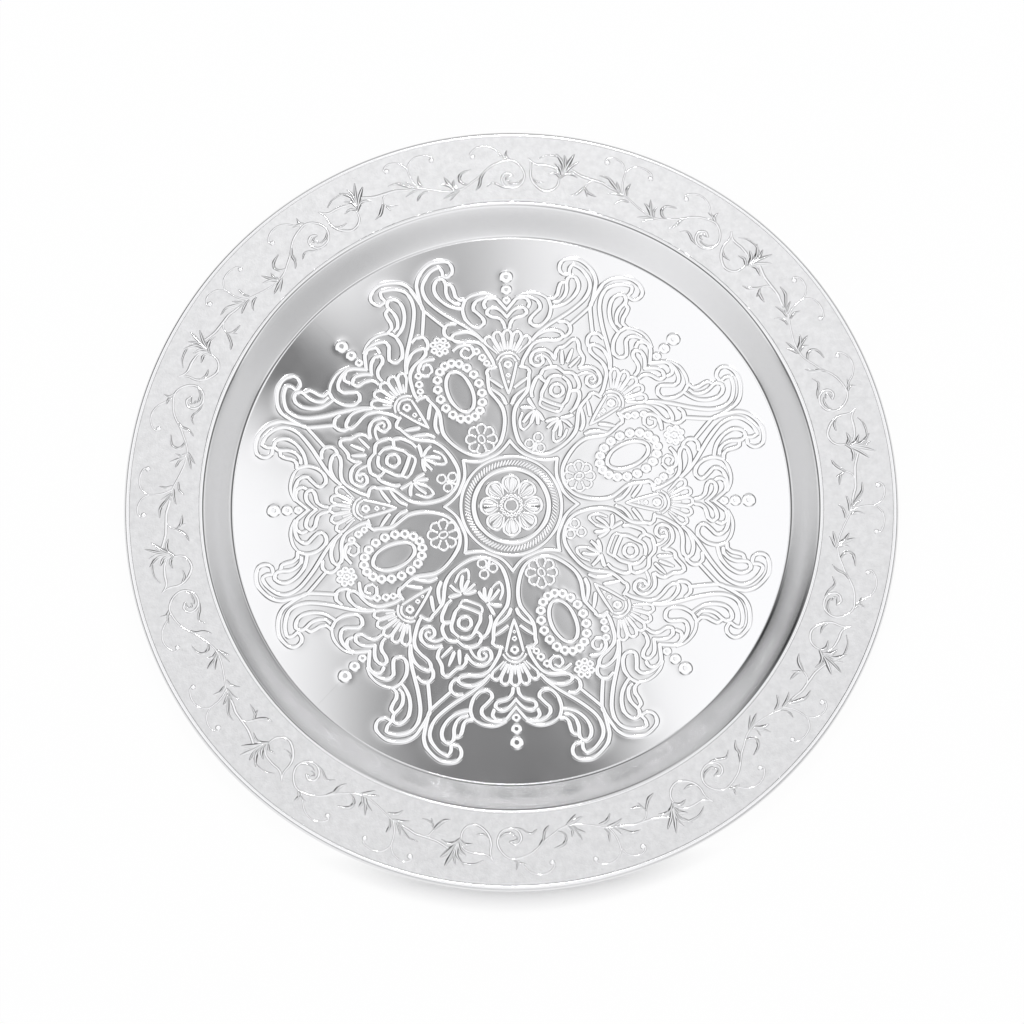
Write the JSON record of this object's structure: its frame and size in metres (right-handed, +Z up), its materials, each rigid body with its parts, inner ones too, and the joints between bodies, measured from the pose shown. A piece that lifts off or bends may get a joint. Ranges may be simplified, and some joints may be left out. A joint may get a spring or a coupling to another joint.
{
  "type": "puja thali",
  "caption": "Round shallow ceremonial plate in bright silver plate, with a scroll-embossed floor, sloping wall, flat vine-embossed rim and an edge rolled over a wire.",
  "frame": {"origin": "centre of the plate's underside, on the surface it rests on", "axes": "+Z up out of the well along the plate's axis; +Y towards the top of the picture, +X to its right"},
  "size_m": [0.2999, 0.3, 0.011],
  "materials": {
    "silver_plate": "polished silver plate, frosted ground on the rim",
    "steel_wire": "drawn steel wire"
  },
  "bodies": {
    "root": {"dish": "silver_plate", "edge_wire": "steel_wire"}
  },
  "joints": []
}
